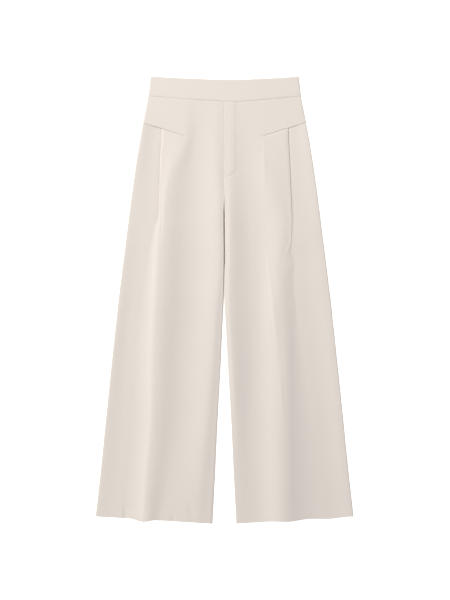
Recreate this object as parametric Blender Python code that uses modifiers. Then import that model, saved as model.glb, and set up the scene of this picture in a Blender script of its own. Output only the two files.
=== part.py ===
"""Palazzo pants laid flat on their back, front side up.

The waistband points along +Y and the hems along -Y, on a surface at Z 0. Left and right are the
wearer's, so the right leg lies at negative X. Sizes are in millimetres, made metres by MM.
Each leg is a flat tube of a front and a back. The front has a slash from the side seam, into
which one pleat is folded outwards, and the pleat opens downwards into a long soft fold.
"""

import math

import bmesh
import bpy
import numpy as np

MM = 0.001

# Cloth and seams
CLOTH = 1.2
BAND_CLOTH = 1.6
FLY_CLOTH = 1.0
SEAM_GAP = 0.3
SIDE_SEAM_Z = 2.6

# Waist
WAIST_Y = 520.0
WAIST_DIP = 7.8
WAIST_LOWEST_X = 17.0
WAIST_BOW = 1.5
BAND_SIDE_HEIGHT = 46.0
BAND_SEAM_DIP = 12.5
BAND_SEAM_LOWEST_X = 24.0
BAND_SEAM_BOW = 1.3
BAND_Z = 4.9

# Slash in each front, from the side seam in to its tip
SLASH_SIDE_Y = 412.5
SLASH_TIP_X = 91.0
SLASH_TIP_Y = 381.0
SLASH_GAP = 0.4

# Fly
FLY_WIDTH = 29.0
FLY_CURVE_TOP_Y = 309.0
FLY_CURVE_DEPTH = 24.0

# Crotch: above it the fronts meet flat, below it each leg's edge turns down to the inseam
EDGE_FLAT_Y = 245.0
EDGE_TURNED_Y = 170.0

# Hems
HEM_INNER_Y = -520.0
HEM_OUTER_Y = -501.0

# Levels at which the tables of folds are read
TABLE_WAIST_Y = 475.0
TABLE_SLASH_Y = 400.0
TABLE_HEM_Y = -510.0

# Bends of the fronts and backs
ROLL_WIDTH = 8.0
INSEAM_ROLL_WIDTH = 4.2
SEAM_RUN = 0.3
TIGHTEST_BEND = 0.8

# How many faces each stretch across the front has
ROLL_STEPS = 4
EDGE_STEPS = 2
TROUGH_STEPS = 5
RISE_STEPS = 6
CREST_STEPS = 3
BEND_STEPS = 5
LAP_STEPS = 2
UNDER_STEPS = 2
SIDE_STEPS = 5
YOKE_STEPS = 6
BACK_STEPS = 6
BAND_STEPS = 12

TROUGH_SHARPNESS = 0.8
CREST_SHARPNESS = 1.4
SIDE_SHARPNESS = 1.5

LEG_ROWS = (400, 374, 346, 318, 290, 262, 234, 208, 182, 154, 122, 86, 46, 0, -52, -108, -168,
            -230, -294, -356, -412, -460, -490, -510)
YOKE_ROWS = (400, 418, 437, 456, 475)
BAND_ROWS = (0.0, 0.5, 1.0)
FLY_ROWS = 8
FLY_COLUMNS = 6

CLOTH_COLOUR = (0.78, 0.72, 0.66, 1.0)


def monotone_cubic(xs, ys, x):
    """The height at x of a smooth curve that passes through the points and never overshoots."""
    steps = np.diff(xs)
    slopes = np.diff(ys) / steps
    before, after = slopes[:-1], slopes[1:]
    same_way = before * after > 0
    total = np.where(same_way, before + after, 1.0)
    inner = np.where(same_way, 2 * before * after / total, 0.0)
    tangents = np.concatenate([slopes[:1], inner, slopes[-1:]])
    x = min(max(x, xs[0]), xs[-1])
    i = min(max(int(np.searchsorted(xs, x)) - 1, 0), len(steps) - 1)
    t = (x - xs[i]) / steps[i]
    start = ys[i] * (1 + 2 * t) * (1 - t) ** 2 + tangents[i] * steps[i] * t * (1 - t) ** 2
    end = ys[i + 1] * t * t * (3 - 2 * t) - tangents[i + 1] * steps[i] * t * t * (1 - t)
    return float(start + end)


class Table:
    """Rows of named columns, read at any y between the rows."""

    def __init__(self, columns, *rows):
        self.columns = dict(zip(columns.split(), np.array(sorted(rows), float).T))

    def at(self, column, y):
        return monotone_cubic(self.columns["y"], self.columns[column], y)


# Half the width out to the outseams, and half the gap between the legs.
OUTLINE = Table(
    "y half_width half_gap",
    (520, 173.5, 0.15),
    (475, 178.6, 0.15),
    (419, 188.9, 0.15),
    (326, 205.2, 0.15),
    (233, 218.0, 0.15),
    (140, 229.8, 0.25),
    (0, 247.3, 0.6),
    (-47, 252.0, 3.2),
    (-140, 262.3, 8.2),
    (-279, 277.2, 16.2),
    (-400, 288.6, 21.8),
    (-520, 301.7, 28.0),
)

# The folds of each front. Along x, out from the centre: a soft crest inner_x in from the leg's
# edge, a valley, the main crest, and the pleat's fold. The pleat starts to bend at fold_x, turns
# by turn degrees, runs back under by lap, and comes out level at low_z, lower by drop. top_share
# is the upper bend's share of the two radii. Down the leg it opens from a full pleat to a slope.
FOLDS = {
    "right": Table(
        "y edge_z inner_x inner_z valley_x valley_z crest_x crest_rise fold_x low_z drop turn lap top_share side_z",
        (475, 3.9, 16, 4.0, 52, 3.8, 91, -1.3, 144, 2.1, 3.4, 180, 20, 0.50, 4.0),
        (400, 4.1, 16, 4.6, 60, 3.4, 91, 0.0, 144, 2.1, 3.4, 180, 20, 0.50, 4.3),
        (326, 4.3, 15, 5.2, 66, 2.9, 117, 0.8, 148, 2.1, 3.4, 180, 12, 0.50, 4.6),
        (270, 4.5, 14, 5.7, 68, 2.7, 132, 0.9, 151, 2.1, 3.4, 180, 3, 0.50, 4.8),
        (186, 4.6, 14, 5.9, 72, 2.4, 141, 0.5, 150, 4.2, 2.1, 14, 0.5, 0.50, 4.8),
        (93, 4.6, 14, 5.9, 72, 2.4, 147, 0.1, 151, 4.3, 2.8, 10, 0.5, 0.40, 4.8),
        (0, 4.6, 16, 5.9, 74, 2.4, 151, 0, 154, 4.0, 3.6, 9.5, 0.5, 0.30, 4.6),
        (-140, 4.6, 20, 5.9, 82, 2.4, 155, 0, 158, 3.0, 4.8, 9, 0.5, 0.28, 4.3),
        (-280, 4.5, 28, 5.9, 94, 2.5, 156, 0, 159, 2.9, 5.0, 8.5, 0.5, 0.22, 4.2),
        (-400, 4.4, 37, 5.9, 108, 2.6, 168, 0, 171, 3.1, 4.8, 8.5, 0.5, 0.22, 4.2),
        (-510, 4.4, 44, 5.2, 126, 3.0, 181, 0, 184, 3.4, 4.4, 8.5, 0.5, 0.20, 4.4),
    ),
    "left": Table(
        "y edge_z inner_x inner_z valley_x valley_z crest_x crest_rise fold_x low_z drop turn lap top_share side_z",
        (475, 3.9, 14, 4.0, 48, 3.8, 91, -1.1, 147, 2.1, 3.4, 180, 20, 0.50, 4.0),
        (400, 4.2, 14, 4.5, 50, 3.5, 91, -0.5, 147, 2.1, 3.4, 180, 20, 0.50, 4.4),
        (326, 4.3, 13, 5.0, 54, 3.2, 98, 0.1, 150, 2.1, 3.4, 180, 14, 0.50, 4.8),
        (256, 4.5, 12, 5.4, 58, 2.8, 112, 0.3, 152, 2.1, 3.4, 180, 5, 0.50, 5.0),
        (186, 4.6, 12, 5.8, 62, 2.5, 120, 0.6, 154, 2.4, 3.2, 130, 1, 0.55, 5.2),
        (140, 4.6, 12, 5.9, 66, 2.4, 123, 0.7, 155, 3.2, 2.4, 80, 0.5, 0.60, 5.3),
        (93, 4.6, 12, 6.0, 68, 2.4, 126, 0.4, 148, 4.1, 1.8, 34, 0.5, 0.60, 5.4),
        (46, 4.6, 12, 6.0, 70, 2.4, 128, 0.2, 142, 3.9, 2.3, 16, 0.5, 0.55, 5.4),
        (0, 4.6, 12, 6.0, 70, 2.4, 130, 0.1, 139, 3.5, 2.9, 11, 0.5, 0.50, 5.3),
        (-140, 4.6, 12, 5.9, 70, 2.3, 134, 0, 138, 2.9, 3.9, 9, 0.5, 0.36, 5.0),
        (-280, 4.6, 12, 5.4, 66, 2.3, 136, 0, 139, 2.6, 4.7, 8, 0.5, 0.25, 4.7),
        (-400, 4.5, 12, 5.0, 60, 2.5, 136, 0, 139, 2.2, 5.5, 8, 0.5, 0.22, 4.4),
        (-510, 4.4, 12, 4.7, 58, 2.6, 137, 0, 140, 2.1, 5.8, 7.5, 0.5, 0.20, 4.2),
    ),
}

# Places where a fold lets the hem drop: how far out, how much, and over what half width.
HEM_WAVES = {
    "right": ((190, 5.5, 30),),
    "left": ((150, 4.0, 44), (244, 2.6, 46)),
}


def mix(start, end, share):
    return start + (end - start) * share


def eased(start, end, share, sharpness=1.0):
    """A height between a trough at share 0 and a crest at share 1, level at both."""
    return mix(start, end, (1 - math.cos(math.pi * share**sharpness)) / 2)


def shares(steps):
    """The ends of so many equal steps from 0 to 1, leaving out 0."""
    return [i / steps for i in range(1, steps + 1)]


def edge_turn(y):
    """How far a leg's inner edge is turned down at y, in radians: a quarter turn below the crotch."""
    share = min(max((EDGE_FLAT_Y - y) / (EDGE_FLAT_Y - EDGE_TURNED_Y), 0.0), 1.0)
    return math.pi / 2 * share * share * (3 - 2 * share)


def rolled_edge(edge_x, inward, level_z, meet_z, turn, width, tightest):
    """A rounded edge, as (x, z) from its level side out to the seam.

    It leaves level_z level, turns by turn radians and runs straight into the seam, at meet_z for
    a quarter turn. It is narrowed where the cloth's wall would cross itself, which tightest, the
    wall's reach inside the bend, sets.
    """
    run = math.copysign(SEAM_RUN, meet_z - level_z)
    drop = meet_z - level_z - run
    width = min(width, 0.95 * drop * drop / tightest)
    arc_x = edge_x + inward * SEAM_RUN * math.cos(turn)
    points = []
    for share in (0.0, *shares(ROLL_STEPS)):
        reach = math.sin(turn * share) / math.sin(turn) if turn > 1e-6 else share
        x = arc_x + inward * width * (1 - reach)
        points.append((x, level_z + drop * (1 - math.cos(turn * share))))
    points.append((edge_x, points[-1][1] + run * math.sin(turn)))
    return points


def pleat_bend(fold, start_x, start_z):
    """The pleat's fold, as (x, z): a bend over, a flat run back under, and a bend out again.

    The run is shortened where the bends beside it would be tighter than the cloth's wall allows.
    The turn is kept just short of half a turn, where the run's slope would vanish.
    """
    drop = fold("drop")
    turn = math.radians(min(fold("turn"), 179.9))
    top_share = fold("top_share")
    least_radii = TIGHTEST_BEND / min(top_share, 1 - top_share)
    most_lap = (drop - least_radii * (1 - math.cos(turn))) / math.sin(turn)
    lap = min(fold("lap"), most_lap)
    radii = (drop - lap * math.sin(turn)) / (1 - math.cos(turn))
    top, low = radii * top_share, radii * (1 - top_share)
    points = [
        (start_x + top * math.sin(turn * s), start_z - top * (1 - math.cos(turn * s)))
        for s in shares(BEND_STEPS)
    ]
    x, z = points[-1]
    points += [
        (x + lap * math.cos(turn) * s, z - lap * math.sin(turn) * s) for s in shares(LAP_STEPS)
    ]
    x, z = points[-1]
    for s in shares(BEND_STEPS):
        heading = turn * (1 - s)
        points.append(
            (
                x + low * (math.sin(turn) - math.sin(heading)),
                z - low * (math.cos(heading) - math.cos(turn)),
            )
        )
    return points


def centre_section(fold, edge, turn):
    """(x, z) of the front's middle surface from the leg's inner edge out to the main crest."""
    meet_z = SIDE_SEAM_Z + SEAM_GAP / 2
    edge_x = edge + CLOTH / 2 * math.sin(turn)
    roll = rolled_edge(edge_x, 1, fold("edge_z"), meet_z, turn, INSEAM_ROLL_WIDTH, CLOTH / 2)
    points = roll[::-1]
    crest_z = fold("low_z") + fold("drop") + fold("crest_rise")
    stretches = (
        (edge + fold("inner_x"), fold("inner_z"), EDGE_STEPS, 1.0),
        (fold("valley_x"), fold("valley_z"), TROUGH_STEPS, TROUGH_SHARPNESS),
        (fold("crest_x"), crest_z, RISE_STEPS, CREST_SHARPNESS),
    )
    for end_x, end_z, steps, sharpness in stretches:
        x, z = points[-1]
        points += [(mix(x, end_x, s), eased(z, end_z, s, sharpness)) for s in shares(steps)]
    return points


def outseam_section(fold, outline_x):
    """(x, z) of the front's rolled edge at the outseam."""
    meet_z = SIDE_SEAM_Z + SEAM_GAP / 2
    edge_x = outline_x - CLOTH / 2
    return rolled_edge(edge_x, -1, fold("side_z"), meet_z, math.pi / 2, ROLL_WIDTH, CLOTH / 2)


def leg_section(fold, edge, turn, outline_x):
    """(x, z) across the whole of one front below its slash, pleat and all."""
    points = centre_section(fold, edge, turn)
    x, z = points[-1]
    fold_x = fold("fold_x")
    fold_z = fold("low_z") + fold("drop")
    points += [(mix(x, fold_x, s), eased(z, fold_z, s)) for s in shares(CREST_STEPS)]
    bend = pleat_bend(fold, fold_x, fold_z)
    points += bend
    x, z = points[-1]
    clear_x = max([x for x, _ in bend]) + CLOTH
    points += [(mix(x, clear_x, s), z) for s in shares(UNDER_STEPS)]
    roll = outseam_section(fold, outline_x)
    side_x, side_z = roll[0]
    points += [
        (mix(clear_x, side_x, s), eased(z, side_z, s, SIDE_SHARPNESS)) for s in shares(SIDE_STEPS)
    ]
    return points + roll[1:]


def yoke_section(fold, outline_x):
    """(x, z) across one front above its slash, where it lies smooth."""
    points = centre_section(fold, SEAM_GAP / 2, 0.0)
    x, z = points[-1]
    roll = outseam_section(fold, outline_x)
    side_x, side_z = roll[0]
    points += [(mix(x, side_x, s), eased(z, side_z, s)) for s in shares(YOKE_STEPS)]
    return points + roll[1:]


def slash_y(x, lip=0.0):
    """The slash's line, level from its tip in to the centre. lip moves one side of it away."""
    side_x = OUTLINE.at("half_width", SLASH_SIDE_Y)
    share = max(x - SLASH_TIP_X, 0.0) / (side_x - SLASH_TIP_X)
    return mix(SLASH_TIP_Y, SLASH_SIDE_Y, share) + (lip if share > 0 else 0.0)


def hollow(x, side_y, dip, lowest_x, bow):
    """A line at side_y at both sides that hollows by dip. x here is to the wearer's left."""
    side_x = OUTLINE.at("half_width", WAIST_Y)
    reach = side_x - math.copysign(lowest_x, x - lowest_x)
    return side_y - dip * (1 - min(abs(x - lowest_x) / reach, 1.0) ** bow)


def waist_top_y(x):
    """The waistband's top edge."""
    return hollow(x, WAIST_Y, WAIST_DIP, WAIST_LOWEST_X, WAIST_BOW)


def waist_seam_y(x):
    """The seam between the waistband and the legs."""
    side_y = WAIST_Y - BAND_SIDE_HEIGHT
    return hollow(x, side_y, BAND_SEAM_DIP, BAND_SEAM_LOWEST_X, BAND_SEAM_BOW)


def hem_y(side, x):
    """The hem's line, with the waves that its folds give it."""
    inner_x = OUTLINE.at("half_gap", HEM_INNER_Y)
    outer_x = OUTLINE.at("half_width", HEM_INNER_Y)
    y = mix(HEM_INNER_Y, HEM_OUTER_Y, (x - inner_x) / (outer_x - inner_x))
    for centre_x, depth, half_width in HEM_WAVES[side]:
        away = min(abs(x - centre_x) / half_width, 1.0)
        y -= depth * (1 + math.cos(math.pi * away)) / 2
    return max(y, HEM_INNER_Y)


def leg_row(side, level):
    """One row of points across a front below the slash, at a level of its table of folds."""
    share = (TABLE_SLASH_Y - level) / (TABLE_SLASH_Y - TABLE_HEM_Y)
    inner_y = mix(SLASH_TIP_Y, HEM_INNER_Y, share)
    outer_y = mix(SLASH_SIDE_Y, HEM_OUTER_Y, share)
    section = leg_section(
        lambda column: FOLDS[side].at(column, level),
        OUTLINE.at("half_gap", inner_y),
        edge_turn(inner_y),
        OUTLINE.at("half_width", outer_y),
    )
    return [(x, mix(slash_y(x, -SLASH_GAP / 2), hem_y(side, x), share), z) for x, z in section]


def yoke_row(side, level):
    """One row of points across a front above the slash."""
    sign = 1 if side == "left" else -1
    share = (level - TABLE_SLASH_Y) / (TABLE_WAIST_Y - TABLE_SLASH_Y)
    outer_y = mix(SLASH_SIDE_Y, WAIST_Y - BAND_SIDE_HEIGHT, share)
    section = yoke_section(
        lambda column: FOLDS[side].at(column, level), OUTLINE.at("half_width", outer_y)
    )
    return [
        (x, mix(slash_y(x, SLASH_GAP / 2), waist_seam_y(sign * x) - SEAM_GAP / 2, share), z)
        for x, z in section
    ]


def back_row(side, level):
    """One row of points across the underside of a back: level, with both edges turned up."""
    sign = 1 if side == "left" else -1
    share = (TABLE_WAIST_Y - level) / (TABLE_WAIST_Y - TABLE_HEM_Y)
    inner_y = mix(WAIST_Y - BAND_SIDE_HEIGHT - BAND_SEAM_DIP, HEM_INNER_Y, share)
    outer_y = mix(WAIST_Y - BAND_SIDE_HEIGHT, HEM_OUTER_Y, share)
    meet_z = SIDE_SEAM_Z - SEAM_GAP / 2
    edge = OUTLINE.at("half_gap", inner_y)
    inner = rolled_edge(edge, 1, 0.0, meet_z, edge_turn(inner_y), ROLL_WIDTH, CLOTH)
    outline_x = OUTLINE.at("half_width", outer_y)
    outer = rolled_edge(outline_x, -1, 0.0, meet_z, math.pi / 2, ROLL_WIDTH, CLOTH)
    start_x, end_x = inner[0][0], outer[0][0]
    flat = [(mix(start_x, end_x, s), 0.0) for s in shares(BACK_STEPS)]
    return [
        (x, mix(waist_seam_y(sign * x) - SEAM_GAP / 2, hem_y(side, x), share), z)
        for x, z in inner[::-1] + flat + outer[1:]
    ]


def band_row(level_z, meet_z, tightest, inset, share):
    """One row of points along a waistband, from its left end to its right end."""
    y = mix(WAIST_Y - BAND_SIDE_HEIGHT, WAIST_Y, share)
    end_x = OUTLINE.at("half_width", y) - inset
    end = rolled_edge(end_x, -1, level_z, meet_z, math.pi / 2, ROLL_WIDTH, tightest)
    flat_x = end[0][0]
    points = [(-x, z) for x, z in end[::-1]]
    points += [(mix(-flat_x, flat_x, s), level_z) for s in shares(BAND_STEPS)]
    points += end[1:]
    return [
        (x, mix(waist_seam_y(x) + SEAM_GAP / 2, waist_top_y(x), share), z) for x, z in points
    ]


def front_top_z(side, x, y):
    """The height of a front's outer face near the centre."""
    if y > SLASH_TIP_Y:
        share = (y - SLASH_TIP_Y) / (waist_seam_y(x) - SLASH_TIP_Y)
        level = mix(TABLE_SLASH_Y, TABLE_WAIST_Y, share)
    else:
        share = (SLASH_TIP_Y - y) / (SLASH_TIP_Y - HEM_INNER_Y)
        level = mix(TABLE_SLASH_Y, TABLE_HEM_Y, share)
    xs, zs = zip(*centre_section(lambda c: FOLDS[side].at(c, level), SEAM_GAP / 2, 0.0))
    return float(np.interp(x, xs, zs)) + CLOTH / 2


def fly_grid():
    """The fly's points: a strip down from the waist, its end curved in to the centre seam."""
    rows = [[] for _ in range(FLY_ROWS + 1)]
    for column in range(FLY_COLUMNS + 1):
        angle = math.pi / 2 * column / FLY_COLUMNS
        x = FLY_WIDTH * math.sin(angle)
        bottom_y = FLY_CURVE_TOP_Y - FLY_CURVE_DEPTH * math.cos(angle)
        for row in range(FLY_ROWS + 1):
            y = mix(bottom_y, waist_seam_y(x) - SEAM_GAP / 2, row / FLY_ROWS)
            rows[row].append((x, y, front_top_z("left", x, y) + SEAM_GAP + FLY_CLOTH / 2))
    return rows


def wall(name, grids, thickness, keeps_points=False):
    """A cloth piece: one open sheet of grids that join where their points meet, made a wall.

    The rows of a grid run along +X and follow each other along +Y, so that its faces point up.
    The wall lies on both sides of the points, or all on the inner side if keeps_points is set.
    """
    sheet = bmesh.new()
    for grid in grids:
        rows = [[sheet.verts.new([c * MM for c in point]) for point in row] for row in grid]
        for lower, upper in zip(rows, rows[1:]):
            for corners in zip(lower, lower[1:], upper[1:], upper):
                sheet.faces.new(corners)
    bmesh.ops.remove_doubles(sheet, verts=sheet.verts, dist=0.01 * MM)
    mesh = bpy.data.meshes.new(name)
    sheet.to_mesh(mesh)
    sheet.free()
    mesh.shade_smooth()
    mesh.materials.append(cloth_material(name))
    piece = bpy.data.objects.new(name, mesh)
    thicken = piece.modifiers.new("wall", "SOLIDIFY")
    thicken.thickness = thickness * MM
    thicken.offset = -1.0 if keeps_points else 0.0
    thicken.use_even_offset = True
    return piece


def cloth_material(name):
    material = bpy.data.materials.new(name)
    material.use_nodes = True
    shader = material.node_tree.nodes["Principled BSDF"]
    shader.inputs["Base Color"].default_value = CLOTH_COLOUR
    shader.inputs["Roughness"].default_value = 0.85
    shader.inputs["Metallic"].default_value = 0.0
    return material


def mirrored(grid):
    """The same grid on the wearer's right, its rows still running along +X."""
    return [[(-x, y, z) for x, y, z in reversed(row)] for row in grid]


def upside_down(grid):
    """The same grid with its rows turned round, so that its faces point down."""
    return [list(reversed(row)) for row in grid]


def front(side):
    leg = [leg_row(side, level) for level in reversed(LEG_ROWS)]
    yoke = [yoke_row(side, level) for level in YOKE_ROWS]
    grids = (leg, yoke) if side == "left" else (mirrored(leg), mirrored(yoke))
    return wall(f"front_{side}", grids, CLOTH)


def back(side):
    levels = [level for level in reversed(LEG_ROWS)] + list(YOKE_ROWS[1:])
    grid = [back_row(side, level) for level in levels]
    grid = grid if side == "left" else mirrored(grid)
    return wall(f"back_{side}", [upside_down(grid)], CLOTH, keeps_points=True)


def waistbands():
    half = BAND_CLOTH / 2
    above = SIDE_SEAM_Z + SEAM_GAP / 2
    below = SIDE_SEAM_Z - SEAM_GAP / 2
    front_band = [band_row(BAND_Z, above, half, half, share) for share in BAND_ROWS]
    back_band = [band_row(0.0, below, BAND_CLOTH, 0.0, share) for share in BAND_ROWS]
    return (
        wall("waistband_front", [front_band], BAND_CLOTH),
        wall("waistband_back", [upside_down(back_band)], BAND_CLOTH, keeps_points=True),
    )


def main():
    for old in list(bpy.data.objects):
        bpy.data.objects.remove(old)
    pants = bpy.data.collections.new("palazzo_pants")
    bpy.context.scene.collection.children.link(pants)
    pieces = [
        front("right"),
        front("left"),
        back("right"),
        back("left"),
        *waistbands(),
        wall("fly", [fly_grid()], FLY_CLOTH),
    ]
    for piece in pieces:
        pants.objects.link(piece)


main()
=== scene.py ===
"""Palazzo pants of cream crepe, laid flat on their back, seen from straight above."""

import math

import bpy
import numpy as np
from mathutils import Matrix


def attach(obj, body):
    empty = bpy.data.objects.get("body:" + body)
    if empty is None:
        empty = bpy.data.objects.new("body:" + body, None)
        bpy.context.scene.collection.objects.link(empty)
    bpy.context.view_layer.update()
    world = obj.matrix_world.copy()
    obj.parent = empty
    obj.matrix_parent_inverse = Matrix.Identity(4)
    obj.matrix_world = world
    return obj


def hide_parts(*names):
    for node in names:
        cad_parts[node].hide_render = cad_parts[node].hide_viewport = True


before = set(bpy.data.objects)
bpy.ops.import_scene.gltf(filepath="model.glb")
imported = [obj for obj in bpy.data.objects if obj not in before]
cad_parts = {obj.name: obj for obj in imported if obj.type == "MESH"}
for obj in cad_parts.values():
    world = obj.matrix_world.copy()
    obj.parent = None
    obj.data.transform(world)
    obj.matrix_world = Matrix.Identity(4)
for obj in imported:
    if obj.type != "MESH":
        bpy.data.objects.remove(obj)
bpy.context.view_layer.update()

# ---------------------------------------------------------------------------------------------
# The two fronts of crepe. Each is one panel from the waist seam to the hem. A slanted slash from
# the side seam holds the top of one pleat, pressed to lie outwards, that opens down the leg into
# a long soft fold. Sizes are in millimetres, with x out from the centre, and become metres in MM.

# The cloth's thickness, the gap at a seam, the heights where fronts and backs meet, how far in an
# edge starts to roll, the straight run at its end, and how far past the pleat the cloth rises.
MM = 0.001
CREPE = 0.6
PANEL_GAP = 0.3
SIDE_SEAM_Z = 2.6
INSEAM_Z = 1.3
EDGE_ROLL = 1.6
INSEAM_ROLL = 1.05
SEAM_RUN = 0.3
DIP_REACH = 5.0

# The smallest radius in a pleat, the share of its limit that a rolled edge's width may reach, and
# the most degrees that a pleat turns, short of half a turn so that its sine isn't 0.
TIGHTEST_BEND = 0.2
BEND_MARGIN = 0.95
FULL_TURN = 179.9

# The lines across the garment: the band's two edges, which hollow to a lowest place, the slash
# from the side seam in to its tip, where the inseams start to turn down, and the hem.
WAIST_SIDE_Y = 520.0
WAIST_DIP = 7.8
WAIST_LOWEST_X = 17.0
WAIST_BOW = 1.5
BAND_SIDE_HEIGHT = 46.0
BAND_SEAM_DIP = 12.5
BAND_SEAM_LOWEST_X = 24.0
BAND_SEAM_BOW = 1.3

SLASH_SIDE_Y = 412.5
SLASH_TIP_X = 91.0
SLASH_TIP_Y = 381.0
SLASH_GAP = 0.4

CROTCH_FLAT_Y = 245.0
CROTCH_TURNED_Y = 170.0
HEM_INNER_Y = -520.0
HEM_OUTER_Y = -503.0
HEM_TURN = 19.0

# The levels in the tables of folds that stand for the waist seam, the slash and the hem.
WAIST_LEVEL = 475.0
SLASH_LEVEL = 400.0
HEM_LEVEL = -510.0


def monotone_cubic(xs, ys, x):
    """The height at x of a smooth curve through the points that never overshoots them."""
    steps = np.diff(xs)
    slopes = np.diff(ys) / steps
    before, after = slopes[:-1], slopes[1:]
    same_way = before * after > 0
    total = np.where(same_way, before + after, 1.0)
    inner = np.where(same_way, 2 * before * after / total, 0.0)
    tangents = np.concatenate([slopes[:1], inner, slopes[-1:]])
    x = min(max(x, xs[0]), xs[-1])
    i = min(max(int(np.searchsorted(xs, x)) - 1, 0), len(steps) - 1)
    t = (x - xs[i]) / steps[i]
    start = ys[i] * (1 + 2 * t) * (1 - t) ** 2 + tangents[i] * steps[i] * t * (1 - t) ** 2
    end = ys[i + 1] * t * t * (3 - 2 * t) - tangents[i + 1] * steps[i] * t * t * (1 - t)
    return float(start + end)


class Table:
    """Rows of named columns, read at any y between the rows."""

    def __init__(self, columns, *rows):
        self.columns = dict(zip(columns.split(), np.array(sorted(rows), float).T))

    def at(self, column, y):
        return monotone_cubic(self.columns["y"], self.columns[column], y)


# The legs' outline: half the whole width, half the gap between the two fronts' inner edges and
# between the two backs', and where the middle of both gaps lies.
OUTLINE = Table(
    "y half_width front_gap back_gap middle",
    (520, 173.1, 0.15, 0.15, 0),
    (475, 178.3, 0.15, 0.15, 0),
    (419, 188.9, 0.15, 0.15, 0),
    (326, 204.4, 0.15, 0.15, 0),
    (245, 215.8, 0.15, 0.1, 0),
    (225, 218.4, 0.45, 0.05, -0.2),
    (198, 221.8, 1.15, 0.03, -0.3),
    (163, 226.1, 1.3, 0.02, 0.1),
    (128, 230.4, 1.1, 0.02, 0.5),
    (105, 233.3, 1.25, 0.02, 0.6),
    (88, 235.5, 1.0, 0.02, 0.4),
    (70, 237.8, 0.6, 0.03, -0.3),
    (30, 242.7, 0.45, 0.1, -0.9),
    (0, 246.4, 0.95, 0.75, -1.0),
    (-23, 249.0, 1.8, 1.8, -1.1),
    (-47, 251.5, 3.0, 3.0, -1.1),
    (-140, 261.6, 7.4, 7.4, -0.8),
    (-279, 276.1, 15.2, 15.2, -0.6),
    (-400, 288.6, 20.8, 20.8, -0.5),
    (-520, 302.4, 27.2, 27.2, -0.4),
)

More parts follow.
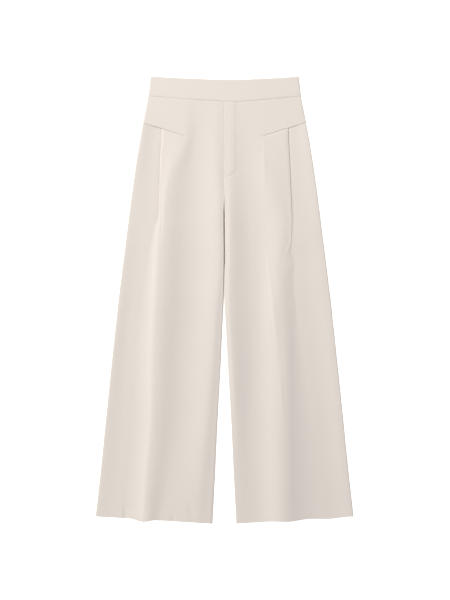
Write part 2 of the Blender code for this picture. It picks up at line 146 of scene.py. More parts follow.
# The folds across each front: the inner edge, a soft crest inner_x out from it, a valley, the
# main crest, and the pleat. The pleat starts to bend at fold_x, crest_rise below the crest, turns
# by turn degrees, runs on by lap, and comes out level at low_z, lower by drop. top_share is the
# upper bend's share of both bends' radii, and dip is how far the cloth beside the pleat rises
# again. side_z is at the outseam.
FOLD_COLUMNS = (
    "y edge_z inner_x inner_z valley_x valley_z crest_x crest_rise"
    " fold_x low_z drop turn lap top_share dip side_z"
)
FOLDS = {
    "right": Table(
        FOLD_COLUMNS,
        (475, 4.6, 16, 4.7, 52, 4.5, 91, 0.2, 144, 3.7, 0.9, 180, 20, 0.5, 0.3, 4.8),
        (400, 4.5, 16, 4.7, 60, 3.7, 91, 1.0, 144, 3.2, 0.85, 180, 20, 0.5, 0.3, 5.1),
        (326, 4.7, 15, 5.2, 66, 3.1, 117, 1.4, 148, 3.6, 0.85, 180, 12, 0.5, 0.3, 5.4),
        (270, 5.2, 11, 5.6, 68, 2.9, 132, 1.2, 149.5, 4.0, 0.85, 180, 4, 0.5, 0.3, 5.6),
        (228, 5.5, 10, 5.8, 70, 2.7, 138, 1.0, 150.5, 4.4, 0.7, 150, 0.5, 0.5, 0.2, 5.7),
        (213, 5.5, 10, 5.8, 71, 2.6, 139, 0.8, 150, 4.7, 0.45, 60, 0.3, 0.5, 0.1, 5.7),
        (198, 5.5, 10, 5.8, 71, 2.6, 140, 0.6, 148, 4.8, 0.6, 14, 0.3, 0.5, 0.1, 5.6),
        (165, 5.5, 10, 5.8, 72, 2.5, 142, 0.3, 147, 4.8, 1.5, 9.2, 0.5, 0.5, 0, 5.5),
        (93, 5.5, 10, 5.9, 72, 2.5, 147, 0, 150, 4.3, 2.5, 9.2, 0.5, 0.4, 0, 5.4),
        (0, 5.1, 16, 5.9, 76, 2.7, 151, 0, 154, 3.9, 3.3, 9, 0.5, 0.3, 0, 5.1),
        (-140, 5.0, 19, 6.0, 88, 3.1, 157, 0, 159, 3.1, 4.1, 9, 0.5, 0.28, 0, 4.6),
        (-280, 4.9, 25, 6.1, 98, 3.6, 162, 0, 164, 3.0, 4.0, 8.5, 0.5, 0.22, 0, 4.3),
        (-400, 4.8, 32, 6.1, 119, 4.2, 173, 0, 175, 3.1, 3.9, 8.5, 0.5, 0.22, 0, 4.2),
        (-455, 4.7, 37, 5.8, 131, 4.5, 177, 0, 179, 3.2, 3.9, 8.5, 0.5, 0.2, 0, 4.3),
        (-510, 4.6, 42, 5.4, 147, 5.0, 180, 0, 183, 3.4, 3.9, 8.5, 0.5, 0.2, 0, 4.4),
    ),
    "left": Table(
        FOLD_COLUMNS,
        (475, 4.6, 14, 4.7, 48, 4.6, 91, 0, 148, 3.8, 0.85, 180, 20, 0.5, 0.25, 4.6),
        (400, 4.6, 14, 4.8, 50, 4.0, 91, -0.3, 148, 3.7, 0.85, 180, 20, 0.5, 0.25, 4.9),
        (326, 4.8, 14, 5.1, 54, 3.8, 98, 0.4, 151, 4.0, 0.85, 180, 14, 0.5, 0.2, 5.3),
        (256, 5.0, 13, 5.5, 58, 3.2, 118, 0.6, 154, 4.3, 0.85, 180, 5, 0.5, 0, 5.5),
        (186, 5.1, 12, 5.9, 62, 2.7, 134, 0.7, 156.5, 4.7, 0.6, 120, 0.6, 0.5, -0.3, 5.6),
        (140, 5.2, 12, 6.0, 66, 2.5, 134, 0.8, 154, 4.8, 0.55, 13, 0.3, 0.5, -0.1, 5.6),
        (93, 5.2, 12, 6.0, 68, 2.5, 128, 0, 131, 4.2, 2.0, 6.8, 0.5, 0.79, 0, 5.5),
        (46, 5.2, 12, 6.0, 70, 2.5, 127, 0, 130, 4.0, 2.4, 5.8, 13.5, 0.72, 0, 5.5),
        (0, 5.2, 12, 6.0, 70, 2.5, 124, 0, 127, 3.8, 2.8, 5.8, 16, 0.73, 0, 5.5),
        (-140, 5.1, 12, 5.9, 70, 2.4, 134, 0, 138, 3.1, 3.7, 8.7, 0.5, 0.36, 0, 5.3),
        (-280, 4.4, 12, 4.6, 66, 2.6, 136, 0, 139, 2.7, 4.6, 7.8, 0.5, 0.25, 0, 4.9),
        (-400, 3.6, 12, 3.6, 66, 2.9, 136, 0, 139, 2.3, 5.4, 7.8, 0.5, 0.22, 0, 4.5),
        (-510, 3.2, 12, 3.2, 68, 2.9, 137, 0, 140, 2.2, 5.7, 7.5, 0.5, 0.2, 0, 4.3),
    ),
}

# How many faces each stretch across a front has, how far apart its rows are, and how sharply the
# slopes end: one above 1 rises late, and one below 1 early.
ROLL_STEPS = 6
EDGE_STEPS = 6
TROUGH_STEPS = 24
RISE_STEPS = 22
CREST_STEPS = 7
BEND_STEPS = 8
LAP_STEPS = 3
UNDER_STEPS = 3
DIP_STEPS = 4
SIDE_STEPS = 36
YOKE_STEPS = 26
ROW_STEP = 4.0
TROUGH_SHARPNESS = 0.8
CREST_SHARPNESS = 1.2
SIDE_SHARPNESS = 1.5

# Places where a fold lets the hem drop: how far out, how much, and over what half width.
HEM_WAVES = {
    "right": ((190, 5.5, 30),),
    "left": ((150, 2.6, 44), (244, 2.6, 46)),
}


def mix(start, end, share):
    return start + (end - start) * share


def eased(start, end, share, sharpness=1.0):
    """A height between a trough at share 0 and a crest at share 1, level at both."""
    return mix(start, end, (1 - math.cos(math.pi * share**sharpness)) / 2)


def shares(steps):
    """The ends of so many equal steps from 0 to 1, leaving out 0."""
    return [i / steps for i in range(1, steps + 1)]


def graded(length, coarse, fine_places, fine=0.45, growth=0.3):
    """Shares of a length, close together at fine_places and up to coarse apart elsewhere."""
    places = [0.0]
    while places[-1] < length:
        nearest = min(abs(places[-1] - place) for place in fine_places)
        places.append(places[-1] + min(coarse, fine + growth * nearest))
    return [place / places[-1] for place in places]


def edge_turn(y):
    """How far a leg's inner edge is turned down at y: a quarter turn below the crotch."""
    share = min(max((CROTCH_FLAT_Y - y) / (CROTCH_FLAT_Y - CROTCH_TURNED_Y), 0.0), 1.0)
    return math.pi / 2 * share * share * (3 - 2 * share)


def inner_edge(column, sign, y):
    """A leg's inner edge, out from the centre, in the outline's column for fronts or backs."""
    return OUTLINE.at(column, y) + sign * OUTLINE.at("middle", y)


def rolled_edge(edge_x, inward, level_z, meet_z, turn, width, tightest):
    """A rounded edge, as (x, z) from its level side out to the seam that it turns towards."""
    run = math.copysign(SEAM_RUN, meet_z - level_z)
    drop = meet_z - level_z - run
    width = min(width, BEND_MARGIN * drop * drop / tightest)
    arc_x = edge_x + inward * SEAM_RUN * math.cos(turn)
    points = []
    for share in (0.0, *shares(ROLL_STEPS)):
        reach = math.sin(turn * share) / math.sin(turn) if turn > 1e-6 else share
        x = arc_x + inward * width * (1 - reach)
        points.append((x, level_z + drop * (1 - math.cos(turn * share))))
    points.append((edge_x, points[-1][1] + run * math.sin(turn)))
    return points


def pleat_bend(fold, start_x, start_z):
    """The pleat's fold: a bend over, a flat run back under, and a bend out again."""
    drop = fold("drop")
    turn = math.radians(min(fold("turn"), FULL_TURN))
    top_share = fold("top_share")
    least_radii = TIGHTEST_BEND / min(top_share, 1 - top_share)
    most_lap = (drop - least_radii * (1 - math.cos(turn))) / math.sin(turn)
    lap = max(min(fold("lap"), most_lap), 0.0)
    radii = (drop - lap * math.sin(turn)) / (1 - math.cos(turn))
    top, low = radii * top_share, radii * (1 - top_share)
    points = [
        (start_x + top * math.sin(turn * s), start_z - top * (1 - math.cos(turn * s)))
        for s in shares(BEND_STEPS)
    ]
    x, z = points[-1]
    points += [
        (x + lap * math.cos(turn) * s, z - lap * math.sin(turn) * s) for s in shares(LAP_STEPS)
    ]
    x, z = points[-1]
    for s in shares(BEND_STEPS):
        heading = turn * (1 - s)
        rise = low * (math.cos(heading) - math.cos(turn))
        points.append((x + low * (math.sin(turn) - math.sin(heading)), z - rise))
    return points


def centre_section(fold, edge, turn):
    """The front from the leg's inner edge out to the main crest."""
    meet_z = INSEAM_Z + PANEL_GAP / 2
    edge_x = edge + CREPE / 2 * math.sin(turn)
    points = rolled_edge(edge_x, 1, fold("edge_z"), meet_z, turn, INSEAM_ROLL, CREPE / 2)[::-1]
    crest_z = fold("low_z") + fold("drop") + fold("crest_rise")
    stretches = (
        (edge + fold("inner_x"), fold("inner_z"), EDGE_STEPS, 1.0),
        (fold("valley_x"), fold("valley_z"), TROUGH_STEPS, TROUGH_SHARPNESS),
        (fold("crest_x"), crest_z, RISE_STEPS, CREST_SHARPNESS),
    )
    for end_x, end_z, steps, sharpness in stretches:
        x, z = points[-1]
        points += [(mix(x, end_x, s), eased(z, end_z, s, sharpness)) for s in shares(steps)]
    return points


def outseam_section(fold, outline_x):
    """The front's rolled edge at the outseam."""
    meet_z = SIDE_SEAM_Z + PANEL_GAP / 2
    edge_x = outline_x - CREPE / 2
    return rolled_edge(edge_x, -1, fold("side_z"), meet_z, math.pi / 2, EDGE_ROLL, CREPE / 2)


def leg_section(fold, edge, turn, outline_x):
    """Across the whole of one front below its slash, pleat and all."""
    points = centre_section(fold, edge, turn)
    x, z = points[-1]
    fold_x = fold("fold_x")
    fold_z = fold("low_z") + fold("drop")
    points += [(mix(x, fold_x, s), eased(z, fold_z, s)) for s in shares(CREST_STEPS)]
    bend = pleat_bend(fold, fold_x, fold_z)
    points += bend
    x, z = points[-1]
    clear_x = max([x for x, _ in bend]) + CREPE
    points += [(mix(x, clear_x, s), z) for s in shares(UNDER_STEPS)]
    points += [
        (clear_x + DIP_REACH * s, eased(z, z + fold("dip"), s)) for s in shares(DIP_STEPS)
    ]
    x, z = points[-1]
    roll = outseam_section(fold, outline_x)
    side_x, side_z = roll[0]
    points += [(mix(x, side_x, s), eased(z, side_z, s, SIDE_SHARPNESS)) for s in shares(SIDE_STEPS)]
    return points + roll[1:]


def yoke_section(fold, outline_x):
    """Across one front above its slash, where it lies smooth."""
    points = centre_section(fold, PANEL_GAP / 2, 0.0)
    x, z = points[-1]
    roll = outseam_section(fold, outline_x)
    side_x, side_z = roll[0]
    points += [(mix(x, side_x, s), eased(z, side_z, s)) for s in shares(YOKE_STEPS)]
    return points + roll[1:]


def slash_y(x, lip=0.0):
    """The slash's line, level from its tip in to the centre. lip moves one side of it away."""
    side_x = OUTLINE.at("half_width", SLASH_SIDE_Y)
    share = max(x - SLASH_TIP_X, 0.0) / (side_x - SLASH_TIP_X)
    return mix(SLASH_TIP_Y, SLASH_SIDE_Y, share) + (lip if share > 0 else 0.0)


def hollow(x, side_y, dip, lowest_x, bow):
    """A line at side_y at both sides that hollows by dip. x here is to the wearer's left."""
    side_x = OUTLINE.at("half_width", WAIST_SIDE_Y)
    reach = side_x - math.copysign(lowest_x, x - lowest_x)
    return side_y - dip * (1 - min(abs(x - lowest_x) / reach, 1.0) ** bow)


def waist_seam_y(x):
    """The seam under the waistband, lowest beside the fly."""
    side_y = WAIST_SIDE_Y - BAND_SIDE_HEIGHT
    return hollow(x, side_y, BAND_SEAM_DIP, BAND_SEAM_LOWEST_X, BAND_SEAM_BOW)


def hem_y(side, x):
    """The hem's line, with the waves that its folds give it."""
    inner_x = OUTLINE.at("front_gap", HEM_INNER_Y)
    outer_x = OUTLINE.at("half_width", HEM_INNER_Y)
    y = mix(HEM_INNER_Y, HEM_OUTER_Y, (x - inner_x) / (outer_x - inner_x))
    for centre_x, depth, half_width in HEM_WAVES[side]:
        away = min(abs(x - centre_x) / half_width, 1.0)
        y -= depth * (1 + math.cos(math.pi * away)) / 2
    return max(y, HEM_INNER_Y)


def leg_rows(side):
    """The rows of points across a front from its hem up to its slash."""
    sign = 1 if side == "left" else -1
    length = SLASH_TIP_Y - HEM_INNER_Y
    rows = []
    for share in reversed(graded(length, ROW_STEP, (0.0, length - HEM_TURN, length))):
        level = mix(SLASH_LEVEL, HEM_LEVEL, share)
        inner_y = mix(SLASH_TIP_Y, HEM_INNER_Y, share)
        outer_y = mix(SLASH_SIDE_Y, HEM_OUTER_Y, share)
        section = leg_section(
            lambda column: FOLDS[side].at(column, level),
            inner_edge("front_gap", sign, inner_y),
            edge_turn(inner_y),
            OUTLINE.at("half_width", outer_y),
        )
        rows.append(
            [
                (sign * x, mix(slash_y(x, -SLASH_GAP / 2), hem_y(side, x), share), z)
                for x, z in section
            ]
        )
    return rows


def yoke_rows(side):
    """The rows of points across a front from its slash up to the waist seam."""
    sign = 1 if side == "left" else -1
    length = WAIST_SIDE_Y - BAND_SIDE_HEIGHT - SLASH_SIDE_Y
    rows = []
    for share in graded(length, ROW_STEP, (0.0, length)):
        level = mix(SLASH_LEVEL, WAIST_LEVEL, share)
        outer_y = mix(SLASH_SIDE_Y, WAIST_SIDE_Y - BAND_SIDE_HEIGHT, share)
        section = yoke_section(
            lambda column: FOLDS[side].at(column, level), OUTLINE.at("half_width", outer_y)
        )
        rows.append(
            [
                (sign * x, mix(slash_y(x, SLASH_GAP / 2), waist_seam_y(sign * x), share), z)
                for x, z in section
            ]
        )
    return rows


# How deep the cloth dips into its seams, and over what reach. The slash's dip is less by the share
# SLASH_FADE past SLASH_FADE_X, and the turned hem stands up by HEM_STEP.
SEAM_DIP = 0.25
SEAM_REACH = 1.5
SLASH_DIP = 0.5
SLASH_REACH = 1.5
SLASH_FADE_X = 152.0
SLASH_FADE = 0.75
HEM_STEP = 0.12

# How softly each of these starts and ends, and the power that does the same for a crease.
TIP_SOFTNESS = 3.0
PLEAT_SOFTNESS = 8.0
CROTCH_SOFTNESS = 16.0
HEM_SOFTNESS = 2.4
CREASE_FADE = 0.7

# Creases: from and to, as x out from the centre and y, then width and height. The tuck is
# where the stitches at the fly's lower end draw the cloth in.
FLY_TUCK = (5.5, 284.5, 25.5, 297.5, 1.3, -0.5)
CREASES = {
    "right": (
        (231, -545, 231, -478, 3.6, -0.75),
        (117, -536, 120, -498, 4.5, -0.65),
        (70, -524, 82, -470, 6, -0.4),
    ),
    "left": (
        (91, 383, 95, 255, 3.5, 0.25),
        (99, 118, 127, -151, 3.5, 0.3),
        (127, -151, 139, -290, 3.5, 0.3),
        FLY_TUCK,
    ),
}


def near(distance, reach):
    """1 on a line, and less away from it."""
    return np.exp(-((distance / reach) ** 2))


def step_up(distance, softness):
    """0 before a line and 1 past it, with a soft step between."""
    return (1 + np.tanh(distance / softness)) / 2


def crease(x, y, from_x, from_y, to_x, to_y, width, height):
    """A soft ridge, or a trough if height is below 0, that fades out at both ends."""
    run_x, run_y = to_x - from_x, to_y - from_y
    length = math.hypot(run_x, run_y)
    along = ((x - from_x) * run_x + (y - from_y) * run_y) / length**2
    across = ((x - from_x) * run_y - (y - from_y) * run_x) / length
    fade = np.sin(np.pi * np.clip(along, 0, 1)) ** CREASE_FADE
    return height * fade * near(across, width)


def dressed_front(side, rows):
    """The rows with the dips of the seams, the turned hem and the creases added."""
    points = np.array(rows)
    out, y, z = np.abs(points[..., 0]), points[..., 1], points[..., 2]
    seam = np.vectorize(waist_seam_y)(points[..., 0])
    slash = np.vectorize(slash_y)(out)
    hem = np.vectorize(lambda x: hem_y(side, x))(out)
    past_tip = step_up(out - SLASH_TIP_X, TIP_SOFTNESS)
    past_pleat = step_up(out - SLASH_FADE_X, PLEAT_SOFTNESS)
    above_crotch = step_up(y - CROTCH_FLAT_Y, CROTCH_SOFTNESS)
    z = z - SEAM_DIP * near(y - seam, SEAM_REACH)
    z = z - SEAM_DIP * near(out, SEAM_REACH) * above_crotch
    z = z - SLASH_DIP * near(y - slash, SLASH_REACH) * past_tip * (1 - SLASH_FADE * past_pleat)
    z = z + HEM_STEP * step_up(hem + HEM_TURN - y, HEM_SOFTNESS)
    for row in CREASES[side]:
        z = z + crease(out, y, *row)
    return np.stack([points[..., 0], y, z], axis=-1)


# Points closer than this become one, and edges bent by less than this are shaded smooth.
WELD_REACH = 0.01
SMOOTH_UNDER = math.radians(50)


def cloth_sheet(name, grids, thickness, turned=False):
    """A sheet of cloth of grids that join where their points meet, made a thin closed wall.

    Its UV map is the cloth laid out, in metres: u across the piece and v along it.
    """
    points, faces, cloth_uv, start = [], [], [], 0
    for grid in grids:
        count_y, count_x = grid.shape[:2]
        index = start + np.arange(count_y * count_x).reshape(count_y, count_x)
        a, b, c, d = index[:-1, :-1], index[:-1, 1:], index[1:, 1:], index[1:, :-1]
        corners = (a, d, c, b) if turned else (a, b, c, d)
        faces.append(np.stack(corners, axis=-1).reshape(-1, 4))
        lengths = np.linalg.norm(np.diff(grid, axis=1), axis=2)
        across = np.concatenate([np.zeros((count_y, 1)), np.cumsum(lengths, axis=1)], axis=1)
        cloth_uv.append(np.stack([across + grid[:, :1, 0], grid[..., 1]], axis=-1).reshape(-1, 2))
        points.append(grid.reshape(-1, 3))
        start += count_y * count_x
    points = np.concatenate(points) * MM
    faces = np.concatenate(faces)
    cloth_uv = np.concatenate(cloth_uv) * MM
    mesh = bpy.data.meshes.new(name)
    mesh.from_pydata(points.tolist(), [], faces.tolist())
    layer = mesh.uv_layers.new(name="cloth")
    layer.data.foreach_set("uv", cloth_uv[faces.reshape(-1)].astype(np.float32).reshape(-1))
    piece = bpy.data.objects.new(name, mesh)
    bpy.context.collection.objects.link(piece)
    bpy.ops.object.select_all(action="DESELECT")
    bpy.context.view_layer.objects.active = piece
    piece.select_set(True)
    weld = piece.modifiers.new("weld", "WELD")
    weld.merge_threshold = WELD_REACH * MM
    wall = piece.modifiers.new("wall", "SOLIDIFY")
    wall.thickness = thickness * MM
    wall.offset = 0.0
    wall.use_even_offset = True
    bpy.ops.object.modifier_apply(modifier="weld")
    bpy.ops.object.modifier_apply(modifier="wall")
    bpy.ops.object.shade_smooth_by_angle(angle=SMOOTH_UNDER)
    piece.select_set(False)
    return piece


class Socket:
    """A shader socket on which sums are written as Python expressions."""

    def __init__(self, tree, link=None):
        self.tree = tree
        self.link = link

    def node(self, kind, settings=None, output=0, **inputs):
        """A node with its settings, and values or links for its sockets, by name or as i0, i1."""
        made = self.tree.nodes.new(kind)
        for name, value in (settings or {}).items():
            setattr(made, name, value)
        for name, value in inputs.items():
            numbered = name[1:].isdigit()
            place = made.inputs[int(name[1:]) if numbered else name]
            if isinstance(value, Socket):
                self.tree.links.new(value.link, place)
            else:
                place.default_value = value
        return Socket(self.tree, made.outputs[output])

    def maths(self, operation, other):
        return self.node("ShaderNodeMath", {"operation": operation}, i0=self, i1=other)

    def __add__(self, other):
        return self.maths("ADD", other)

    def __mul__(self, other):
        return self.maths("MULTIPLY", other)

    __radd__ = __add__
    __rmul__ = __mul__


CREAM = (0.690, 0.635, 0.584, 1.0)
CREAM_SHADE = (0.666, 0.610, 0.558, 1.0)
WEAVE_SCALE = 500.0
CREPE_GRAIN = 1300.0
TONE_SCALE = 9.0
GRAIN_SHARE = 0.35
SPECKLE_SHARE = 0.2
ROUGHNESS_SPREAD = 0.12


def crepe_material(name, roughness=0.82):
    """Smooth matte crepe: a fine pebbled weave, a low sheen, and a faint unevenness of tone."""
    material = bpy.data.materials.new(name)
    material.use_nodes = True
    tree = material.node_tree
    shader = tree.nodes["Principled BSDF"]
    shader.inputs["Sheen Weight"].default_value = 0.12
    shader.inputs["Sheen Roughness"].default_value = 0.45
    shader.inputs["Specular IOR Level"].default_value = 0.25
    start = Socket(tree)
    cloth = start.node("ShaderNodeTexCoord", output="UV")
    tone = start.node(
        "ShaderNodeTexNoise", Vector=cloth, Scale=TONE_SCALE, Detail=3.0, Roughness=0.5
    )
    grain = start.node("ShaderNodeTexNoise", Vector=cloth, Scale=CREPE_GRAIN, Detail=2.0)
    warp, weft = (
        start.node(
            "ShaderNodeTexWave",
            {"bands_direction": direction},
            Vector=cloth,
            Scale=WEAVE_SCALE,
            Distortion=1.2,
            Detail=1.0,
        )
        for direction in "XY"
    )
    weave = warp * 0.5 + weft * 0.5
    speckle = grain * GRAIN_SHARE + weave * (1 - GRAIN_SHARE)
    shadowing = tone * (1 - SPECKLE_SHARE) + speckle * SPECKLE_SHARE
    # The mix node's share is input 0, its two colours are 6 and 7, and the mixed one is output 2.
    colour = start.node(
        "ShaderNodeMix", {"data_type": "RGBA"}, output=2, i0=shadowing, i6=CREAM, i7=CREAM_SHADE
    )
    tree.links.new(colour.link, shader.inputs["Base Color"])
    rough = speckle * ROUGHNESS_SPREAD + (roughness - ROUGHNESS_SPREAD / 2)
    tree.links.new(rough.link, shader.inputs["Roughness"])
    bump = start.node("ShaderNodeBump", Strength=0.12, Distance=0.0002, Height=speckle)
    tree.links.new(bump.link, shader.inputs["Normal"])
    return material


crepe = crepe_material("cream_crepe")

for side in ("right", "left"):
    leg = dressed_front(side, leg_rows(side))
    yoke = dressed_front(side, yoke_rows(side))
    front = cloth_sheet(f"front_{side}_crepe", [leg, yoke], CREPE, turned=side == "right")
    front.data.materials.append(crepe)
    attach(front, "root")
    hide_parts(f"front_{side}")

# ---------------------------------------------------------------------------------------------
# The two backs, plain panels of the same crepe. They lie flat on the surface, and their edges
# turn up to meet the fronts at the side seams and inseams.

BACK_STEPS = 40
BACK_ROW_STEP = 6.0

# Shallow ridges where the backs don't quite settle, written as the fronts' creases are.
BACK_CREASES = {
    "right": (
        (96, 372, 128, 60, 9, 0.5),
        (150, 30, 176, -330, 8, 0.6),
        (84, -60, 92, -410, 7, 0.4),
        (214, -250, 238, -494, 8, 0.5),
    ),
    "left": (
        (104, 350, 122, 96, 8, 0.5),
        (134, 120, 150, -280, 9, 0.6),
        (198, -90, 214, -440, 7, 0.5),
        (66, -230, 74, -500, 8, 0.4),
    ),
}


def back_rows(side):
    """The rows of points across a back from its hem up to the waist seam."""
    sign = 1 if side == "left" else -1
    length = WAIST_SIDE_Y - BAND_SIDE_HEIGHT - HEM_INNER_Y
    side_z = SIDE_SEAM_Z - PANEL_GAP / 2
    inseam_z = INSEAM_Z - PANEL_GAP / 2
    level_z = CREPE / 2
    rows = []
    for share in reversed(graded(length, BACK_ROW_STEP, (0.0, length))):
        inner_y = mix(WAIST_SIDE_Y - BAND_SIDE_HEIGHT, HEM_INNER_Y, share)
        outer_y = mix(WAIST_SIDE_Y - BAND_SIDE_HEIGHT, HEM_OUTER_Y, share)
        turn = edge_turn(inner_y)
        edge = inner_edge("back_gap", sign, inner_y) + CREPE / 2 * math.sin(turn)
        outline_x = OUTLINE.at("half_width", outer_y) - CREPE / 2
        inner = rolled_edge(edge, 1, level_z, inseam_z, turn, INSEAM_ROLL, CREPE / 2)
        outer = rolled_edge(outline_x, -1, level_z, side_z, math.pi / 2, EDGE_ROLL, CREPE / 2)
        start_x, end_x = inner[0][0], outer[0][0]
        flat = [(mix(start_x, end_x, s), level_z) for s in shares(BACK_STEPS)]
        rows.append(
            [
                (sign * x, mix(waist_seam_y(sign * x), hem_y(side, x), share), z)
                for x, z in inner[::-1] + flat + outer[1:]
            ]
        )
    return np.array(rows)


for side in ("right", "left"):
    back_points = back_rows(side)
    out, y = np.abs(back_points[..., 0]), back_points[..., 1]
    seam_away = y - np.vectorize(waist_seam_y)(back_points[..., 0])
    above_crotch = step_up(y - CROTCH_FLAT_Y, CROTCH_SOFTNESS)
    back_points[..., 2] += SEAM_DIP * near(seam_away, SEAM_REACH)
    back_points[..., 2] += SEAM_DIP * near(out, SEAM_REACH) * above_crotch
    for row in BACK_CREASES[side]:
        back_points[..., 2] += crease(out, y, *row)
    back = cloth_sheet(f"back_{side}_crepe", [back_points], CREPE, turned=side == "left")
    back.data.materials.append(crepe)
    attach(back, "root")
    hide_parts(f"back_{side}")

# ---------------------------------------------------------------------------------------------
# The waistband: crepe over a stiffening, folded along its top edge and seamed to the legs. Its
# front lies over its back, and both turn to meet at the sides.

BAND_CREPE = 1.2
BAND_Z = 4.9
BAND_COLUMNS = 90
BAND_ROW_STEP = 3.0

# How far the folded top edge of each half turns towards the other, and over what reach.
BAND_TURN_DOWN = 0.25
BAND_TURN_UP = 0.5
BAND_TURN_REACH = 1.2


def waist_top_y(x):
    """The band's top edge."""
    return hollow(x, WAIST_SIDE_Y, WAIST_DIP, WAIST_LOWEST_X, WAIST_BOW)


def band_rows(level_z, meet_z, top_turn):
    """The rows of points along a band, from its seam up to its folded top edge."""
    rows = []
    for share in graded(BAND_SIDE_HEIGHT, BAND_ROW_STEP, (0.0, BAND_SIDE_HEIGHT)):
        y = mix(WAIST_SIDE_Y - BAND_SIDE_HEIGHT, WAIST_SIDE_Y, share)
        end_x = OUTLINE.at("half_width", y) - BAND_CREPE / 2
        end = rolled_edge(end_x, -1, level_z, meet_z, math.pi / 2, EDGE_ROLL, BAND_CREPE / 2)
        flat_x = end[0][0]
        section = [(-x, z) for x, z in end[::-1]]
        section += [(mix(-flat_x, flat_x, s), level_z) for s in shares(BAND_COLUMNS)]
        section += end[1:]
        from_top = (1 - share) * BAND_SIDE_HEIGHT
        rows.append(
            [
                (
                    x,
                    mix(waist_seam_y(x), waist_top_y(x), share),
                    z - top_turn * math.exp(-((from_top / BAND_TURN_REACH) ** 2)),
                )
                for x, z in section
            ]
        )
    return np.array(rows)


band_crepe = crepe_material("waistband_crepe", roughness=0.8)

band_points = band_rows(BAND_Z, SIDE_SEAM_Z + PANEL_GAP / 2, BAND_TURN_DOWN)
seam_away = band_points[..., 1] - np.vectorize(waist_seam_y)(band_points[..., 0])
band_points[..., 2] -= SEAM_DIP * near(seam_away, SEAM_REACH)
band_front = cloth_sheet("waistband_front_crepe", [band_points], BAND_CREPE)
band_back = cloth_sheet(
    "waistband_back_crepe",
    [band_rows(BAND_CREPE / 2, SIDE_SEAM_Z - PANEL_GAP / 2, -BAND_TURN_UP)],
    BAND_CREPE,
    turned=True,
)
for band, half in ((band_front, "front"), (band_back, "back")):
    band.data.materials.append(band_crepe)
    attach(band, "root")
    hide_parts(f"waistband_{half}")

# ---------------------------------------------------------------------------------------------
# The fly: a strip of crepe that laps over from the wearer's left along the centre seam, with a
# curved end. The seam allowance under it raises it a little, and its edges settle on the front.

# FLY_SUNK is how far its edges settle into the front, and FLY_LEVEL_IN how far in from them it is
# level. FLY_END_SLANT makes the distance up from its end into about the distance in from it.
FLY_WIDTH = 29.0
FLY_CURVE_TOP_Y = 309.0
FLY_CURVE_DEPTH = 24.0
FLY_CREPE = 0.3
FLY_SUNK = 0.3
FLY_RAISED = 0.32
FLY_EDGE_REACH = 3.0
FLY_LEVEL_IN = 9.0
FLY_END_SLANT = 0.9

# The sizes of its faces. Its rows are spaced as if it were FLY_LENGTH long at every x.
FLY_LENGTH = 160.0
FLY_ROW_STEP = 2.5
FLY_COLUMN_STEP = 1.2
FLY_EDGE_STEP = 0.3


def front_surface_z(x, y):
    """The height of the left front's middle at a place near the centre."""
    if y > SLASH_TIP_Y:
        share = (y - SLASH_TIP_Y) / (waist_seam_y(x) - SLASH_TIP_Y)
        level = mix(SLASH_LEVEL, WAIST_LEVEL, share)
    else:
        share = (SLASH_TIP_Y - y) / (SLASH_TIP_Y - HEM_INNER_Y)
        level = mix(SLASH_LEVEL, HEM_LEVEL, share)
    section = centre_section(lambda column: FOLDS["left"].at(column, level), PANEL_GAP / 2, 0.0)
    xs, zs = zip(*section)
    return float(np.interp(x, xs, zs))


def fly_bottom_y(x):
    """The fly's curved end."""
    return FLY_CURVE_TOP_Y - FLY_CURVE_DEPTH * math.sqrt(max(1 - (x / FLY_WIDTH) ** 2, 0.0))


def fly_z(x, y):
    """The fly's middle surface: its edges settle on to the front, and the rest is raised."""
    from_end = FLY_END_SLANT * (y - fly_bottom_y(x))
    from_edge = max(min(FLY_WIDTH - x, from_end, FLY_LEVEL_IN), 0.0)
    raised = FLY_RAISED * (1 - math.exp(-((from_edge / FLY_EDGE_REACH) ** 2)))
    seam_dip = SEAM_DIP * near(y - waist_seam_y(x), SEAM_REACH)
    surface = front_surface_z(x, y) + CREPE / 2
    return float(surface - FLY_SUNK + raised - seam_dip + crease(x, y, *FLY_TUCK))


def fly_points():
    """The rows of points over the fly, from its curved end up to the waist seam."""
    rows = []
    for up in graded(FLY_LENGTH, FLY_ROW_STEP, (0.0, FLY_LENGTH)):
        row = []
        for across in graded(FLY_WIDTH, FLY_COLUMN_STEP, (0.0, FLY_WIDTH), fine=FLY_EDGE_STEP):
            x = FLY_WIDTH * across
            y = mix(fly_bottom_y(x), waist_seam_y(x), up)
            row.append((x, y, fly_z(x, y)))
        rows.append(row)
    return np.array(rows)


fly = cloth_sheet("fly_crepe", [fly_points()], FLY_CREPE)
fly.data.materials.append(crepe_material("fly_crepe"))
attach(fly, "root")
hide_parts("fly")

# ---------------------------------------------------------------------------------------------
# The fly's top-stitching: one row of cream thread just inside the strip's edge, down from the
# waist seam and round the curved end to the centre.

# STITCH_SIZE is each stitch's length, width and height.
STITCH_INSET = 2.0
STITCH_STEP = 3.1
STITCH_SIZE = (2.5, 0.42, 0.34)
STITCH_SINK = 0.05
STITCH_START_DOWN = 3.0
ROUTE_POINTS = 300
THREAD = (0.60, 0.545, 0.49, 1.0)
THREAD_SHADE = (0.52, 0.465, 0.41, 1.0)
THREAD_TWIST = 900.0


def stitch_route():
    """The stitches' line, as close points (x, y) down the fly and round its end."""
    line_x = FLY_WIDTH - STITCH_INSET
    top_y = waist_seam_y(line_x) - STITCH_START_DOWN
    downs = [i / ROUTE_POINTS for i in range(ROUTE_POINTS)]
    route = [(line_x, mix(top_y, FLY_CURVE_TOP_Y, down)) for down in downs]
    depth = FLY_CURVE_DEPTH - STITCH_INSET
    for degrees in range(90 + 1):
        angle = math.radians(degrees)
        route.append((line_x * math.cos(angle), FLY_CURVE_TOP_Y - depth * math.sin(angle)))
    return np.array(route)


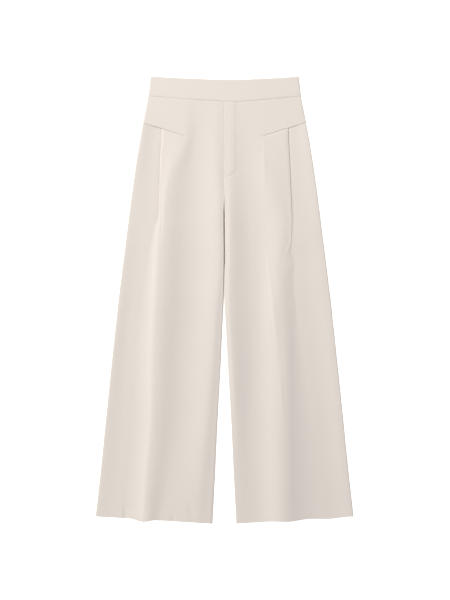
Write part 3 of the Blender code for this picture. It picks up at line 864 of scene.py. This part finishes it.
def evenly(route, step):
    """Places a step apart along a route, each with its heading."""
    runs = np.linalg.norm(np.diff(route, axis=0), axis=1)
    along = np.concatenate([[0.0], np.cumsum(runs)])
    places = []
    for distance in np.arange(step / 2, along[-1] - step / 2, step):
        (x, y), (next_x, next_y) = (
            [float(np.interp(at, along, route[:, k])) for k in (0, 1)]
            for at in (distance, distance + step / 4)
        )
        places.append((x, y, math.atan2(next_y - y, next_x - x)))
    return places


def thread_material(name):
    """Spun polyester thread, a shade deeper than the crepe, with its twist."""
    material = bpy.data.materials.new(name)
    material.use_nodes = True
    tree = material.node_tree
    shader = tree.nodes["Principled BSDF"]
    shader.inputs["Roughness"].default_value = 0.55
    shader.inputs["Sheen Weight"].default_value = 0.1
    start = Socket(tree)
    place = start.node("ShaderNodeTexCoord", output="Object")
    twist = start.node(
        "ShaderNodeTexWave",
        {"bands_direction": "DIAGONAL"},
        Vector=place,
        Scale=THREAD_TWIST,
        Distortion=0.6,
    )
    colour = start.node(
        "ShaderNodeMix", {"data_type": "RGBA"}, output=2, i0=twist, i6=THREAD, i7=THREAD_SHADE
    )
    tree.links.new(colour.link, shader.inputs["Base Color"])
    bump = start.node("ShaderNodeBump", Strength=0.3, Distance=0.0001, Height=twist)
    tree.links.new(bump.link, shader.inputs["Normal"])
    return material


bpy.ops.object.select_all(action="DESELECT")
stitches = []
for x, y, heading in evenly(stitch_route(), STITCH_STEP):
    z = fly_z(x, y) + FLY_CREPE / 2 - STITCH_SINK
    bpy.ops.mesh.primitive_uv_sphere_add(
        segments=8,
        ring_count=6,
        radius=0.5 * MM,
        location=(x * MM, y * MM, z * MM),
        rotation=(0.0, 0.0, heading),
        scale=STITCH_SIZE,
    )
    stitches.append(bpy.context.object)
for stitch in stitches:
    stitch.select_set(True)
bpy.ops.object.join()
fly_stitches = bpy.context.object
fly_stitches.name = "fly_stitches"
bpy.ops.object.transform_apply(location=True, rotation=True, scale=True)
bpy.ops.object.shade_smooth()
fly_stitches.data.materials.append(thread_material("cream_thread"))
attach(fly_stitches, "root")

# ---------------------------------------------------------------------------------------------
# The surface that the garment lies on, the light and the camera. A large soft light stands to the
# upper left, a weak one beyond the waist, and an even pale surround fills the shadows.

# In metres, as the lights' places are. The floor is just under the cloth.
FLOOR_WIDTH = 8.0
FLOOR_Z = -0.0003
bpy.ops.object.select_all(action="DESELECT")
bpy.ops.mesh.primitive_plane_add(size=FLOOR_WIDTH, location=(0, 0, FLOOR_Z))
floor = bpy.context.object
floor.name = "floor"
floor_paint = bpy.data.materials.new("pale_floor")
floor_paint.use_nodes = True
floor_shader = floor_paint.node_tree.nodes["Principled BSDF"]
floor_shader.inputs["Base Color"].default_value = (0.96, 0.96, 0.96, 1.0)
floor_shader.inputs["Roughness"].default_value = 0.9
floor_shader.inputs["Emission Color"].default_value = (1.0, 1.0, 1.0, 1.0)
floor_shader.inputs["Emission Strength"].default_value = 0.8
floor.data.materials.append(floor_paint)

world = bpy.data.worlds.new("pale_surround")
world.use_nodes = True
surround = world.node_tree.nodes["Background"]
surround.inputs["Color"].default_value = (1.0, 0.995, 0.985, 1.0)
surround.inputs["Strength"].default_value = 0.39
bpy.context.scene.world = world

for name, energy, size, place in (
    ("key", 790.0, 5.0, (-6.0, 2.4, 3.4)),
    ("top", 18.5, 1.6, (0.0, 2.3, 1.7)),
):
    light = bpy.data.lights.new(name, "AREA")
    light.size = size
    light.energy = energy
    lamp = bpy.data.objects.new(name, light)
    lamp.location = place
    lamp.rotation_mode = "QUATERNION"
    lamp.rotation_quaternion = (-lamp.location).to_track_quat("-Z", "Y")
    bpy.context.collection.objects.link(lamp)

# The camera looks straight down from where the garment fills as much of the picture as in the
# photograph, which is 450 pixels wide and 600 high.
PICTURE_WIDTH = 450
PICTURE_HEIGHT = 600
MM_PER_PIXEL = 2.327
FRAME_HEIGHT = PICTURE_HEIGHT * MM_PER_PIXEL * MM
CENTRE_PIXEL_X = 224.4
camera_data = bpy.data.cameras.new("camera")
camera_data.lens = 85.0
camera_data.sensor_width = 36.0
camera = bpy.data.objects.new("camera", camera_data)
camera.location = (
    (PICTURE_WIDTH / 2 - CENTRE_PIXEL_X) * MM_PER_PIXEL * MM,
    0.0,
    FRAME_HEIGHT * camera_data.lens / camera_data.sensor_width,
)
bpy.context.collection.objects.link(camera)
bpy.context.scene.camera = camera
bpy.context.scene.view_settings.view_transform = "Standard"
